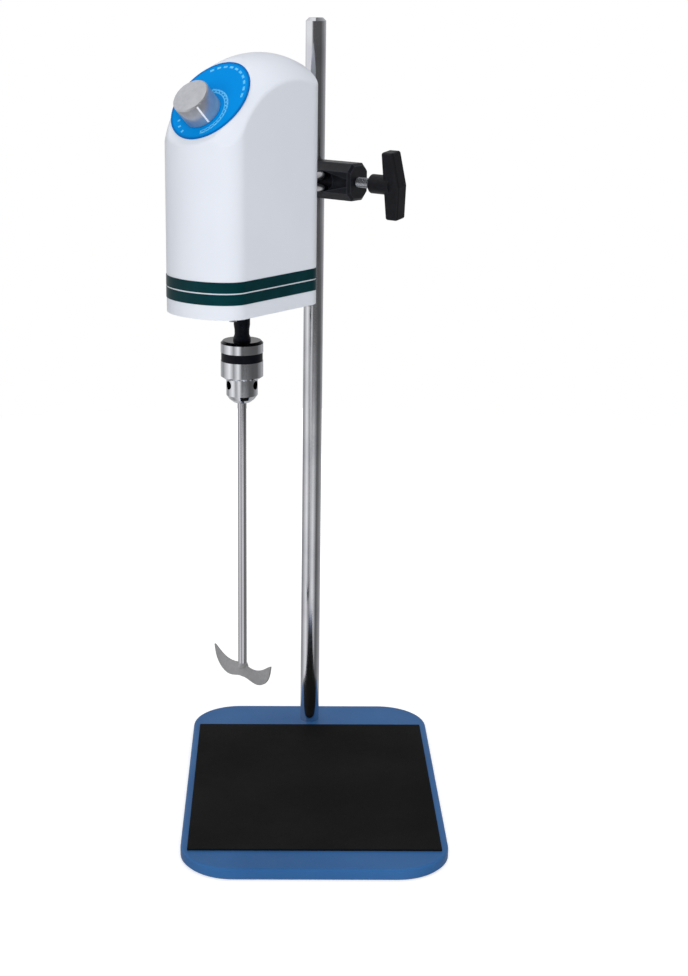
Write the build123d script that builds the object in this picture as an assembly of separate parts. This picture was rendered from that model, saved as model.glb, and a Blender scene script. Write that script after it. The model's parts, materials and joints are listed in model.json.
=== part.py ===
"""Overhead laboratory stirrer on a flat base, one STEP file per piece, millimetres, +Z up.

Origin: centre of the base's underside, on the bench. The head, clamp and chuck are drawn in a frame
whose Z axis is the pillar (X to the side, Y away from the stirrer head) and then swung round it.
"""
import os
from math import cos, radians, sin, tan

from build123d import *

# ---- fits and clearances
RUNNING = 0.05
TOUCH = 0.3
SEAT_GAP = 0.1
OVERCUT = 1.0

# ---- base, mat and feet
BASE_W = 200.0
BASE_D = 300.0
BASE_T = 9.0
BASE_CORNER_R = 40.0
BASE_EDGE_R = 2.0
BASE_UNDER_R = 1.5
FOOT_T = 3.0
FOOT_D = 22.0
FOOT_X = 74.0
FOOT_Y = 124.0
FOOT_SCREW_D = 3.0
FOOT_SCREW_HEAD_D = 6.4
FOOT_SCREW_HEAD_T = 1.6
FOOT_SCREW_SUNK = 0.7
FOOT_SCREW_BITE = 4.0
MAT_W = 189.0
MAT_D = 227.0
MAT_T = 1.5
MAT_Y = -8.0

# ---- pillar
PILLAR_D = 16.0
PILLAR_Y = 122.0
PILLAR_TOP = 600.0
PILLAR_CROWN = 2.5
STUD_D = 12.0
STUD_LENGTH = 6.0
HEAD_YAW = 40.0

# ---- clamp (boss head), along X from the pillar
CLAMP_Z = 476.0
CLAMP_H = 29.0
CLAMP_DEPTH = 25.0
CLAMP_LEFT = 13.5
CLAMP_RIGHT = 44.5
CLAMP_CHAMFER = 6.0
CLAMP_END_CHAMFER = 2.0
BAR_D = 16.0
BAR_OFFSET = PILLAR_D / 2 + BAR_D / 2 + TOUCH
POCKET_END = 32.0
POCKET_H = 12.0
POCKET_DEPTH = 14.0
GROOVE_END = 42.0
GROOVE_H = 17.0
GROOVE_TIP_H = 6.0
GROOVE_CUT = 5.0

# ---- clamp screw, pad and wing handle
PAD_T = 4.0
PAD_W = 12.0
PAD_H = 11.0
PAD_SOCKET_DEPTH = 2.5
SCREW_D = 8.0
SCREW_DOG_D = 5.0
HUB_START = 58.5
HUB_D = 15.0
WING_START = 72.3
WING_END_T = 11.0
WING_MID_T = 14.8
WING_LENGTH = 53.0
WING_THICK = 12.0
WING_TIP_THICK = 9.0
WING_EDGE_R = 2.0
WING_LEAN = 8.0
HUB_INSERT_D = 11.0
HUB_INSERT_LENGTH = 13.0

# ---- stirrer head housing, in the spindle frame (Y away from the nose)
REACH = 107.0
HOUSING_W = 73.0
HOUSING_SHOULDER = 37.5
HOUSING_BULGE = 24.0
HOUSING_REAR = 53.7
HOUSING_REAR_R = 14.0
HOUSING_BOTTOM = 389.0
HOUSING_TOP = 577.0
HOUSING_WALL = 2.5
HOUSING_EDGE_R = 4.5
CREST_R = 27.0
REAR_TOP_R = 16.0
DOME_RISE = 77.0
DOME_BASE = HOUSING_TOP - DOME_RISE
DOME_Y = 18.0
DOME_HALF_L = 84.0
DOME_HALF_W = 56.0
SLOPE = 47.9
DIAL_Y = -33.0
DIAL_DROP = 31.6
DIAL_Z = HOUSING_TOP - DIAL_DROP
FAR = 90.0

# ---- stripes
TAPE_T = 0.35
TAPE_TOP = 417.0
TAPE_BOTTOM = 400.0
TAPE_GAP = 1.0

# ---- bottom plate and its screws
FLOOR_T = 3.0
FLOOR_TOP = HOUSING_BOTTOM + FLOOR_T
NECK_HOLE_D = 26.0
VENT_D = 5.0
VENT_RING_R = 33.5
VENT_ANGLES = (70, 90, 110, 250, 270, 290)
POST_D = 9.0
POST_H = 18.0
POST_END = 1.0
POST_REAR = (30.0, 43.5)
POST_FRONT = (29.0, -43.0)
M3_D = 3.0
M3_HEAD_D = 5.6
M3_HEAD_T = 1.8
M4_D = 4.0
M4_HEAD_D = 7.0
M4_HEAD_T = 2.2

# ---- dial, potentiometer and knob, along the normal of the sloping face
DIAL_ACROSS = 64.5
DIAL_ALONG = 70.0
DIAL_DOWN = 1.5
DIAL_T = 0.8
KNOB_DOWN = 12.5
KNOB_D = 29.0
KNOB_H = 18.0
KNOB_LIFT = 0.6
KNOB_TOP_CHAMFER = 0.8
KNOB_HOLLOW_D = 17.0
KNOB_HOLLOW_H = 4.0
KNOB_BORE_DEPTH = 13.0
GRUB_D = 3.0
POT_SHAFT_D = 6.0
POT_BUSH_D = 9.0
POT_BUSH_TOP = 4.2
POT_NUT_T = 2.4
POT_NUT_AF = 12.0
POT_D = 24.0
POT_T = 10.0

# ---- bar socket
SOCKET_PLATE = 44.0
SOCKET_PLATE_T = 5.0
SOCKET_BOSS_D = 25.0
SOCKET_START = 34.0
SOCKET_FLOOR_T = 2.0
SOCKET_SCREW_PITCH = 34.0
BAR_END = 25.0
BAR_CHAMFER = 1.0
SOCKET_GRUB_D = 5.0

# ---- cord inlet
GROMMET_D = 14.0
GROMMET_GROOVE_D = 11.0
GROMMET_BORE_D = 7.0
GROMMET_LIP = 1.6
GROMMET_X = -13.0
GROMMET_Z = 430.0

# ---- motor
MOTOR_D = 58.0
MOTOR_WALL = 2.0
LOWER_CAP_T = 11.0
CASE_TOP = 486.0
UPPER_CAP_T = 12.0
MOTOR_SHAFT_D = 9.0
BEARING_D = 26.0
BEARING_W = 8.0
CORE_BOTTOM = 424.0
CORE_TOP = 456.0
STATOR_BORE_D = 33.0
ARMATURE_D = 32.4
ARMATURE_SLOTS = 12
ARMATURE_SLOT_W = 1.6
ARMATURE_SLOT_DEPTH = 3.0
COIL_OUT_D = 50.0
COIL_IN_D = 35.0
COIL_H = 7.0
COIL_GAP = 6.0
WINDING_D = 29.0
WINDING_H = 7.0
COMMUTATOR_D = 20.0
COMMUTATOR_Z = 467.0
COMMUTATOR_H = 12.0
FAN_D = 46.0
FAN_Z = 404.5
FAN_H = 7.0
FAN_HUB_D = 16.0
FAN_BLADES = 8
FAN_BLADE_T = 1.6
FAN_DISC_T = 1.2
BRUSH = 5.0
HOLDER = 8.0
HOLDER_IN = 14.0
BRUSH_OUT = 20.0
CASE_SLOT_W = 6.0
CASE_SLOT_ANGLES = (0, 60, 120)
CAP_WEB = 2.0
MOTOR_SCREW_R = 21.5
MOTOR_SCREW_ANGLES = (45, 135, 225, 315)

# ---- speed control board
BOARD_X = -27.6
BOARD_T = 1.6
BOARD_Y = 20.0
BOARD_L = 46.0
BOARD_DROP = 47.0
BOARD_Z = HOUSING_TOP - BOARD_DROP
BOARD_H = 40.0
BOARD_POST_D = 6.0
BOARD_HOLE_INSET = 4.0
BOARD_SCREW_BITE = 3.0
CAPACITOR_D = 10.0
CAPACITOR_L = 14.0
CAPACITOR_AT = (8.0, 6.0)
CHOKE_D = 14.0
CHOKE_BORE_D = 6.0
CHOKE_H = 8.0
CHOKE_AT = (8.0, -9.0)
TRIAC_SIZE = (4.0, 10.0, 15.0)
TRIAC_AT = (-9.0, 3.5)

# ---- spindle adaptor and chuck
ADAPTOR_TOP = 386.5
ADAPTOR_D = 12.6
ADAPTOR_WAIST_D = 11.4
ADAPTOR_WAIST_Z = 371.0
ADAPTOR_FOOT_D = 13.6
ADAPTOR_BORE_BOTTOM = 372.5
ADAPTOR_STUB_D = 9.5
ADAPTOR_STUB_L = 9.0
CHUCK_TOP = 363.0
CHUCK_D = 32.8
CHUCK_TOP_CHAMFER = 1.8
COLLAR_BOTTOM = 354.0
SLEEVE_TOP = 353.8
SLEEVE_BAND_BOTTOM = 347.3
SLEEVE_BAND_D = 32.0
SLEEVE_BAND_T = 0.9
SLEEVE_BOTTOM = 333.4
SLEEVE_CHAMFER = 2.6
SLEEVE_CHAMFER_H = 1.82
NOSE_D = 24.4
NOSE_STRAIGHT = 320.3
NOSE_MID_D = 19.6
NOSE_MID_Z = 317.0
NOSE_END_D = 13.4
NOSE_END = 314.6
CORE_D = 29.0
NUT_TOP = 346.0
NUT_BOTTOM = 341.0
NUT_BORE_D = 25.6
GROOVE_D = 20.0
SHAFT_BORE_D = 10.4
SHAFT_BORE_TOP = 347.0
KEY_HOLE_D = 6.8
KEY_HOLE_Z = 328.8
KEY_HOLE_DEPTH = 5.0
TOOTH_COUNT = 30
TOOTH_H = 1.5
TOOTH_HALF_W = 1.0

# ---- chuck jaws
JAW_D = 5.2
JAW_TILT = 10.0
JAW_AXIS_R = 4.6
JAW_BOTTOM = 315.0
JAW_LENGTH = 30.0
JAW_BORE_EXTRA = 7.0
JAW_BELOW = 5.0

# ---- stirring shaft and propeller
SHAFT_D = 7.0
SHAFT_TOP = 345.0
SHAFT_BOTTOM = 95.0
PROP_Z = 91.0
PROP_T = 1.2
WELD_D = 9.6
WELD_H = 3.4
PROP_TURN = -8.0
# cross-sections of a blade as radius, width, lean from level and rise
BLADE_ROOT = (0.0, 10.0, 90.0, 0.0)
BLADE_INNER = (7.0, 11.3, 96.0, -0.1)
BLADE_MIDDLE = (14.0, 12.0, 96.0, -1.1)
BLADE_OUTER = (21.0, 12.6, 92.0, 0.0)
BLADE_SHOULDER = (28.0, 12.4, 88.0, 3.8)
BLADE_TIP = (34.2, 4.0, 79.0, 11.5)

STAND = Location((0, PILLAR_Y, 0), (0, 0, -HEAD_YAW))
HEAD = STAND * Location((BAR_OFFSET, -REACH, 0))
TURNS = (72, 192, 312)
FROM_LOW = (Align.CENTER, Align.CENTER, Align.MIN)


def save(name, placed, *solids):
    moved = [placed * solid for solid in solids]
    shape = moved[0] if len(moved) == 1 else Compound(moved)
    export_step(shape, f"parts/{name}.step")


def disc(diameter, low, high, x=0.0, y=0.0):
    return Pos(x, y, low) * Cylinder(diameter / 2, high - low, align=FROM_LOW)


def tube(outer_d, inner_d, low, high):
    return disc(outer_d, low, high) - disc(inner_d, low, high)


def rod_x(diameter, start, end, y, z):
    """Cylinder lying along +X."""
    return Pos(start, y, z) * Rot(0, 90, 0) * disc(diameter, 0, end - start)


def rod_y(diameter, start, end, x, z):
    """Cylinder lying along +Y."""
    return Pos(x, start, z) * Rot(-90, 0, 0) * disc(diameter, 0, end - start)


def block(x_low, x_high, y_low, y_high, z_low, z_high):
    size = (x_high - x_low, y_high - y_low, z_high - z_low)
    return Pos(x_low, y_low, z_low) * Box(*size, align=(Align.MIN, Align.MIN, Align.MIN))


def turned(points):
    """Solid of revolution about Z from (radius, height) points."""
    return revolve(Plane.XZ * make_face(Polyline(*points, close=True)), Axis.Z)


def pan_screw(head_d, head_t, shank_d, length):
    """Screw pointing up +Z: head from -head_t to 0, shank to length."""
    return disc(head_d, -head_t, 0) + disc(shank_d, 0, length)


# ---------------------------------------------------------------- base
def foot_places():
    return [(x, y) for x in (-FOOT_X, FOOT_X) for y in (-FOOT_Y, FOOT_Y)]


def base_plate():
    outline = RectangleRounded(BASE_W, BASE_D, BASE_CORNER_R)
    plate = extrude(outline, BASE_T)
    plate = fillet(plate.edges().group_by(Axis.Z)[-1], BASE_EDGE_R)
    plate = chamfer(plate.edges().group_by(Axis.Z)[0], BASE_UNDER_R)
    plate -= disc(STUD_D + 2 * RUNNING, 0, BASE_T, 0, PILLAR_Y)
    for x, y in foot_places():
        plate -= disc(FOOT_D, 0, FOOT_T, x, y)
        plate -= disc(FOOT_SCREW_D, 0, foot_screw_tip(), x, y)
    return plate


def foot_screw_tip():
    return FOOT_T + FOOT_SCREW_BITE


def rubber_foot(x, y):
    head_top = FOOT_SCREW_SUNK + FOOT_SCREW_HEAD_T
    foot = disc(FOOT_D, 0, FOOT_T, x, y)
    foot -= disc(FOOT_SCREW_HEAD_D, 0, head_top, x, y)
    return foot - disc(FOOT_SCREW_D, 0, FOOT_T, x, y)


def foot_screw(x, y):
    head_top = FOOT_SCREW_SUNK + FOOT_SCREW_HEAD_T
    length = foot_screw_tip() - head_top
    return Pos(x, y, head_top) * pan_screw(FOOT_SCREW_HEAD_D, FOOT_SCREW_HEAD_T, FOOT_SCREW_D, length)


def work_mat():
    return Pos(0, MAT_Y, BASE_T) * Box(MAT_W, MAT_D, MAT_T, align=(Align.CENTER, Align.CENTER, Align.MIN))


def pillar():
    rod = disc(PILLAR_D, BASE_T + RUNNING, PILLAR_TOP)
    rod = chamfer(rod.edges().group_by(Axis.Z)[-1], PILLAR_CROWN)
    return rod + disc(STUD_D, BASE_T - STUD_LENGTH, BASE_T + RUNNING)


# ---------------------------------------------------------------- clamp
def clamp_section():
    section = Rectangle(CLAMP_H, CLAMP_DEPTH)
    return chamfer(section.vertices(), CLAMP_CHAMFER)


def clamp_groove(side):
    """Tapering recess beside the bar, in the front (-1) or back (+1) face."""
    half = CLAMP_DEPTH / 2
    low = -half if side < 0 else half - GROOVE_CUT
    points = [(BAR_OFFSET, -GROOVE_H / 2), (GROOVE_END, -GROOVE_TIP_H / 2)]
    points += [(GROOVE_END, GROOVE_TIP_H / 2), (BAR_OFFSET, GROOVE_H / 2)]
    face = Plane.XZ * make_face(Polyline(*points, close=True))
    return Pos(0, low + GROOVE_CUT, CLAMP_Z) * extrude(face, GROOVE_CUT)


def clamp_body():
    length = CLAMP_LEFT + CLAMP_RIGHT
    body = Pos(-CLAMP_LEFT, 0, CLAMP_Z) * Rot(0, 90, 0) * extrude(clamp_section(), length)
    body = chamfer(body.edges().group_by(Axis.X)[-1], CLAMP_END_CHAMFER)
    body = chamfer(body.edges().group_by(Axis.X)[0], CLAMP_END_CHAMFER)
    body -= disc(PILLAR_D + 2 * RUNNING, CLAMP_Z - CLAMP_H, CLAMP_Z + CLAMP_H)
    body -= rod_y(BAR_D + 2 * RUNNING, -CLAMP_DEPTH, CLAMP_DEPTH, BAR_OFFSET, CLAMP_Z)
    half_h = POCKET_H / 2
    half_d = POCKET_DEPTH / 2
    body -= block(BAR_OFFSET, POCKET_END, -half_d, half_d, CLAMP_Z - half_h, CLAMP_Z + half_h)
    body -= rod_x(SCREW_D + 2 * RUNNING, POCKET_END - 1, CLAMP_RIGHT + 1, 0, CLAMP_Z)
    return body - clamp_groove(-1) - clamp_groove(1)


def pad_face():
    return BAR_OFFSET + BAR_D / 2 + TOUCH


def pressure_pad():
    start = pad_face()
    pad = block(start, start + PAD_T, -PAD_W / 2, PAD_W / 2, CLAMP_Z - PAD_H / 2, CLAMP_Z + PAD_H / 2)
    socket = rod_x(SCREW_DOG_D + 2 * RUNNING, start + PAD_T - PAD_SOCKET_DEPTH, start + PAD_T, 0, CLAMP_Z)
    return pad - socket


def clamp_screw():
    tip = pad_face() + PAD_T
    dog = rod_x(SCREW_DOG_D, tip - PAD_SOCKET_DEPTH + SEAT_GAP, tip + SEAT_GAP, 0, CLAMP_Z)
    return dog + rod_x(SCREW_D, tip + SEAT_GAP, HUB_START + HUB_INSERT_LENGTH, 0, CLAMP_Z)


def handle_insert():
    end = HUB_START + HUB_INSERT_LENGTH
    sleeve = rod_x(HUB_INSERT_D, HUB_START, end, 0, CLAMP_Z)
    return sleeve - rod_x(SCREW_D, HUB_START, end, 0, CLAMP_Z)


def wing_profile():
    half = WING_LENGTH / 2
    points = [(WING_START, -half), (WING_START + WING_END_T, -half), (WING_START + WING_MID_T, 0)]
    points += [(WING_START + WING_END_T, half), (WING_START, half)]
    return Plane.XZ * make_face(Polyline(*points, close=True))


def clamp_handle():
    half = WING_THICK / 2
    wing = Pos(0, half, 0) * extrude(wing_profile(), WING_THICK)
    wing = fillet(wing.edges(), WING_EDGE_R)
    hub = rod_x(HUB_D, HUB_START, WING_START + WING_END_T / 2, 0, 0)
    handle = Pos(0, 0, CLAMP_Z) * Rot(WING_LEAN, 0, 0) * (wing + hub)
    return handle - rod_x(HUB_INSERT_D, HUB_START, HUB_START + HUB_INSERT_LENGTH, 0, CLAMP_Z)


# ---------------------------------------------------------------- housing
def housing_plan(inset):
    half = HOUSING_W / 2 - inset
    rear = HOUSING_REAR - inset
    length = rear + HOUSING_SHOULDER
    straight = Pos(0, rear - length / 2) * Rectangle(2 * half, length)
    straight = fillet(straight.vertices().sort_by(Axis.Y)[-2:], HOUSING_REAR_R - inset)
    return straight + Pos(0, -HOUSING_SHOULDER) * Ellipse(half, HOUSING_BULGE - inset)


def slope_height(y, inset):
    return DIAL_Z + (y - DIAL_Y) * tan(radians(SLOPE)) - inset / cos(radians(SLOPE))


def housing_side(inset):
    """Side view under the sloping face, the crest and the rounded back."""
    rear = HOUSING_REAR - inset
    top = HOUSING_TOP - inset
    crest = DIAL_Y + (top - slope_height(DIAL_Y, inset)) / tan(radians(SLOPE))
    points = [(-FAR, 0), (rear, 0), (rear, top), (crest, top), (-FAR, slope_height(-FAR, inset))]
    face = make_face(Polyline(*points, close=True))
    back = face.vertices().sort_by_distance((rear, top))[0]
    face = fillet(back, REAR_TOP_R - inset)
    ridge = face.vertices().sort_by_distance((crest, top))[0]
    face = fillet(ridge, CREST_R - inset)
    return Pos(-FAR, 0, 0) * extrude(Plane.YZ * face, 2 * FAR)


def housing_dome(inset):
    """Crown of the roof: half an ellipsoid standing on a tall block."""
    half_sizes = (DOME_HALF_W - inset, DOME_HALF_L - inset, DOME_RISE - inset)
    crown = Pos(0, DOME_Y, DOME_BASE) * scale(Sphere(1), half_sizes)
    return crown + block(-FAR, FAR, -FAR, FAR, 0, DOME_BASE)


def housing_block(inset, low):
    tall = Pos(0, 0, low) * extrude(housing_plan(inset), HOUSING_TOP - low)
    return tall & housing_side(inset) & housing_dome(inset)


def post_places():
    return [(side * x, y) for x, y in (POST_REAR, POST_FRONT) for side in (-1, 1)]


def board_post_places():
    half_l = BOARD_L / 2 - BOARD_HOLE_INSET
    half_h = BOARD_H / 2 - BOARD_HOLE_INSET
    return [(BOARD_Y + a * half_l, BOARD_Z + b * half_h) for a in (-1, 1) for b in (-1, 1)]


def socket_screw_places():
    half = SOCKET_SCREW_PITCH / 2
    return [(a * half, CLAMP_Z + b * half) for a in (-1, 1) for b in (-1, 1)]


def inner_rear():
    return HOUSING_REAR - HOUSING_WALL


def housing_shell():
    outer = housing_block(0, HOUSING_BOTTOM)
    rim = [e for e in outer.edges() if e.center().Z > HOUSING_BOTTOM + OVERCUT and not is_seam(e)]
    outer = fillet(rim, HOUSING_EDGE_R)
    shell = outer - housing_block(HOUSING_WALL, HOUSING_BOTTOM)
    for x, y in post_places():
        post = disc(POST_D, FLOOR_TOP, FLOOR_TOP + POST_H, x, y)
        shell += post - disc(M3_D, FLOOR_TOP, FLOOR_TOP + POST_H - POST_END, x, y)
    shell += housing_board_posts()
    shell -= rear_hole(BAR_D, 0, CLAMP_Z)
    for x, z in socket_screw_places():
        shell -= rear_hole(M4_D, x, z)
    shell -= rear_hole(GROMMET_GROOVE_D, GROMMET_X, GROMMET_Z)
    return shell - knob_frame() * disc(POT_BUSH_D, -2 * HOUSING_WALL, OVERCUT)


def rear_hole(diameter, x, z):
    return rod_y(diameter, inner_rear() - OVERCUT, HOUSING_REAR + OVERCUT, x, z)


def is_seam(edge):
    """Smooth joins that take no rounding: upright ones and those straight across the head."""
    direction = edge.tangent_at(0.5)
    return edge.geom_type == GeomType.LINE and max(abs(direction.Z), abs(direction.X)) > 0.99


def housing_board_posts():
    wall = -HOUSING_W / 2 + HOUSING_WALL
    end = BOARD_X - BOARD_T
    posts = []
    for y, z in board_post_places():
        posts.append(rod_x(BOARD_POST_D, wall - OVERCUT, end, y, z) - rod_x(M3_D, wall, end, y, z))
    return posts


def bottom_plate():
    plate = Pos(0, 0, HOUSING_BOTTOM) * extrude(housing_plan(HOUSING_WALL), FLOOR_T)
    plate -= disc(NECK_HOLE_D, HOUSING_BOTTOM, FLOOR_TOP)
    for x, y in post_places():
        plate -= disc(M3_D, HOUSING_BOTTOM, FLOOR_TOP, x, y)
    for x, y in motor_screw_places():
        plate -= disc(M4_D, HOUSING_BOTTOM, FLOOR_TOP, x, y)
    for angle in VENT_ANGLES:
        x = VENT_RING_R * cos(radians(angle))
        y = VENT_RING_R * sin(radians(angle))
        plate -= disc(VENT_D, HOUSING_BOTTOM, FLOOR_TOP, x, y)
    return plate


def bottom_screws():
    screw = pan_screw(M3_HEAD_D, M3_HEAD_T, M3_D, FLOOR_T + POST_H / 2)
    return [Pos(x, y, HOUSING_BOTTOM) * screw for x, y in post_places()]


def stripe(low, high):
    ring = housing_plan(-TAPE_T) - housing_plan(0)
    return Pos(0, 0, low) * extrude(ring, high - low)


def stripes():
    middle = (TAPE_TOP + TAPE_BOTTOM) / 2
    return stripe(middle + TAPE_GAP / 2, TAPE_TOP), stripe(TAPE_BOTTOM, middle - TAPE_GAP / 2)


# ---------------------------------------------------------------- dial and knob
def slope_frame(down):
    """Frame on the sloping face, Z outwards, Y up the slope, moved down the slope."""
    y = DIAL_Y - down * cos(radians(SLOPE))
    z = DIAL_Z - down * sin(radians(SLOPE))
    return Location((0, y, z), (SLOPE, 0, 0))


def knob_frame():
    return slope_frame(KNOB_DOWN)


def dial_plate():
    plate = slope_frame(DIAL_DOWN) * extrude(Ellipse(DIAL_ACROSS / 2, DIAL_ALONG / 2), DIAL_T)
    return plate - knob_frame() * disc(POT_BUSH_D, 0, DIAL_T)


def potentiometer():
    body = disc(POT_D, -HOUSING_WALL - POT_T, -HOUSING_WALL) + disc(POT_BUSH_D, -HOUSING_WALL, POT_BUSH_TOP)
    return body - disc(POT_SHAFT_D + 2 * RUNNING, -HOUSING_WALL - POT_T + 1, POT_BUSH_TOP)


def potentiometer_nut():
    hexagon = RegularPolygon(POT_NUT_AF / 2, 6, major_radius=False)
    nut = Pos(0, 0, DIAL_T) * extrude(hexagon, POT_NUT_T)
    return nut - disc(POT_BUSH_D, DIAL_T, DIAL_T + POT_NUT_T)


def knob_bottom():
    return DIAL_T + KNOB_LIFT


def potentiometer_shaft():
    return disc(POT_SHAFT_D, -HOUSING_WALL - POT_T + 1 + SEAT_GAP, knob_bottom() + KNOB_BORE_DEPTH)


def grub_height():
    return knob_bottom() + KNOB_HOLLOW_H + GRUB_D


def speed_knob():
    low = knob_bottom()
    knob = disc(KNOB_D, low, low + KNOB_H)
    knob = chamfer(knob.edges().group_by(Axis.Z)[-1], KNOB_TOP_CHAMFER)
    knob -= disc(KNOB_HOLLOW_D, low, low + KNOB_HOLLOW_H)
    knob -= disc(POT_SHAFT_D, low, low + KNOB_BORE_DEPTH)
    return knob - rod_y(GRUB_D, POT_SHAFT_D / 2, KNOB_D, 0, grub_height())


def knob_grub():
    return rod_y(GRUB_D, POT_SHAFT_D / 2 + TOUCH / 10, KNOB_D / 2 - 2, 0, grub_height())


# ---------------------------------------------------------------- bar and socket
def bar_socket():
    half = SOCKET_PLATE / 2
    rear = inner_rear()
    socket = block(-half, half, rear - SOCKET_PLATE_T, rear, CLAMP_Z - half, CLAMP_Z + half)
    socket += rod_y(SOCKET_BOSS_D, SOCKET_START, rear, 0, CLAMP_Z)
    socket -= rod_y(BAR_D, SOCKET_START + SOCKET_FLOOR_T, rear, 0, CLAMP_Z)
    for x, z in socket_screw_places():
        socket -= rod_y(M4_D, rear - SOCKET_PLATE_T, rear, x, z)
    return socket - disc(SOCKET_GRUB_D, CLAMP_Z + BAR_D / 2, CLAMP_Z + SOCKET_BOSS_D, 0, socket_grub_y())


def socket_grub_y():
    return (SOCKET_START + inner_rear() - SOCKET_PLATE_T) / 2


def socket_grub():
    return disc(SOCKET_GRUB_D, CLAMP_Z + BAR_D / 2, CLAMP_Z + SOCKET_BOSS_D / 2 + 1, 0, socket_grub_y())


def socket_screws():
    screw = pan_screw(M4_HEAD_D, M4_HEAD_T, M4_D, HOUSING_WALL + SOCKET_PLATE_T)
    return [Pos(x, HOUSING_REAR, z) * Rot(90, 0, 0) * screw for x, z in socket_screw_places()]


def mounting_bar():
    bar = rod_y(BAR_D, SOCKET_START + SOCKET_FLOOR_T, REACH + BAR_END, 0, CLAMP_Z)
    return chamfer(bar.edges().group_by(Axis.Y)[-1], BAR_CHAMFER)


def cord_grommet():
    inner = inner_rear()
    ring = rod_y(GROMMET_D, inner - GROMMET_LIP, inner, GROMMET_X, GROMMET_Z)
    ring += rod_y(GROMMET_GROOVE_D, inner, HOUSING_REAR, GROMMET_X, GROMMET_Z)
    ring += rod_y(GROMMET_D, HOUSING_REAR, HOUSING_REAR + GROMMET_LIP, GROMMET_X, GROMMET_Z)
    outer = HOUSING_REAR + GROMMET_LIP
    return ring - rod_y(GROMMET_BORE_D, inner - GROMMET_LIP, outer, GROMMET_X, GROMMET_Z)


# ---------------------------------------------------------------- motor
def motor_screw_places():
    angles = [radians(angle) for angle in MOTOR_SCREW_ANGLES]
    return [(MOTOR_SCREW_R * cos(a), MOTOR_SCREW_R * sin(a)) for a in angles]


def lower_cap_top():
    return FLOOR_TOP + LOWER_CAP_T


def lower_end_cap():
    cap = disc(MOTOR_D, FLOOR_TOP, lower_cap_top())
    cap -= disc(BEARING_D, lower_cap_top() - BEARING_W, lower_cap_top())
    cap -= disc(MOTOR_SHAFT_D + 2 * OVERCUT, FLOOR_TOP, lower_cap_top())
    for x, y in motor_screw_places():
        cap -= disc(M4_D, FLOOR_TOP, lower_cap_top() - CAP_WEB, x, y)
    return cap


def motor_screws():
    screw = pan_screw(M4_HEAD_D, M4_HEAD_T, M4_D, FLOOR_T + LOWER_CAP_T - CAP_WEB - OVERCUT)
    return [Pos(x, y, HOUSING_BOTTOM) * screw for x, y in motor_screw_places()]


def bearing(low):
    return tube(BEARING_D, MOTOR_SHAFT_D + 2 * RUNNING, low, low + BEARING_W)


def motor_case():
    case = tube(MOTOR_D, MOTOR_D - 2 * MOTOR_WALL, lower_cap_top(), CASE_TOP)
    low = lower_cap_top() + CAP_WEB
    slot = block(-CASE_SLOT_W / 2, CASE_SLOT_W / 2, -MOTOR_D, MOTOR_D, low, low + FAN_H)
    for angle in CASE_SLOT_ANGLES:
        case -= Rot(0, 0, angle) * slot
    return case


def upper_end_cap():
    top = CASE_TOP + UPPER_CAP_T
    cap = disc(MOTOR_D, CASE_TOP, top) - disc(BEARING_D, CASE_TOP, CASE_TOP + BEARING_W)
    return cap - disc(MOTOR_SHAFT_D + 2 * OVERCUT, CASE_TOP, top - CAP_WEB)


def stator_core():
    return tube(MOTOR_D - 2 * MOTOR_WALL, STATOR_BORE_D, CORE_BOTTOM, CORE_TOP)


def coil_turn(low, turn):
    ring = tube(COIL_OUT_D, COIL_IN_D, low, low + COIL_H)
    half = block(-COIL_OUT_D, COIL_OUT_D, COIL_GAP / 2, COIL_OUT_D, low, low + COIL_H)
    return ring & Rot(0, 0, turn) * half


def field_coils():
    return [coil_turn(low, turn) for low in (CORE_BOTTOM - COIL_H, CORE_TOP) for turn in (180, 0)]


def brush_height():
    return COMMUTATOR_Z + COMMUTATOR_H / 2


def brush_holder(side):
    half = HOLDER / 2
    z = brush_height()
    wall = MOTOR_D / 2 - MOTOR_WALL
    holder = block(HOLDER_IN, wall - 1, -half, half, z - half, z + half)
    holder += rod_x(HOLDER + 3, wall - 3, wall - 1, 0, z)
    holder -= block(HOLDER_IN, wall - 2, -BRUSH / 2, BRUSH / 2, z - BRUSH / 2, z + BRUSH / 2)
    tab = block(wall - 1, wall, -half, half, z - half, z + half) & disc(2 * wall, z - half, z + half)
    return Rot(0, 0, 0 if side > 0 else 180) * (holder + tab)


def carbon_brush(side):
    z = brush_height()
    start = COMMUTATOR_D / 2 + TOUCH
    brush = block(start, BRUSH_OUT, -BRUSH / 2, BRUSH / 2, z - BRUSH / 2, z + BRUSH / 2)
    return Rot(0, 0, 0 if side > 0 else 180) * brush


def brush_spring(side):
    z = brush_height()
    end = MOTOR_D / 2 - MOTOR_WALL - 2
    spring = rod_x(BRUSH - 1, BRUSH_OUT, end, 0, z) - rod_x(BRUSH - 2, BRUSH_OUT, end, 0, z)
    return Rot(0, 0, 0 if side > 0 else 180) * spring


def motor_shaft():
    low = ADAPTOR_BORE_BOTTOM
    return disc(MOTOR_SHAFT_D, low, CASE_TOP + BEARING_W)


def armature_core():
    core = tube(ARMATURE_D, MOTOR_SHAFT_D, CORE_BOTTOM, CORE_TOP)
    root = ARMATURE_D / 2 - ARMATURE_SLOT_DEPTH
    half_w = ARMATURE_SLOT_W / 2
    slot = block(root, ARMATURE_D, -half_w, half_w, CORE_BOTTOM, CORE_TOP)
    for index in range(ARMATURE_SLOTS):
        core -= Rot(0, 0, 360 / ARMATURE_SLOTS * index) * slot
    return core


def armature_windings():
    lows = (CORE_BOTTOM - WINDING_H, CORE_TOP)
    return [tube(WINDING_D, MOTOR_SHAFT_D, low, low + WINDING_H) for low in lows]


def commutator():
    return tube(COMMUTATOR_D, MOTOR_SHAFT_D, COMMUTATOR_Z, COMMUTATOR_Z + COMMUTATOR_H)


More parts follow.
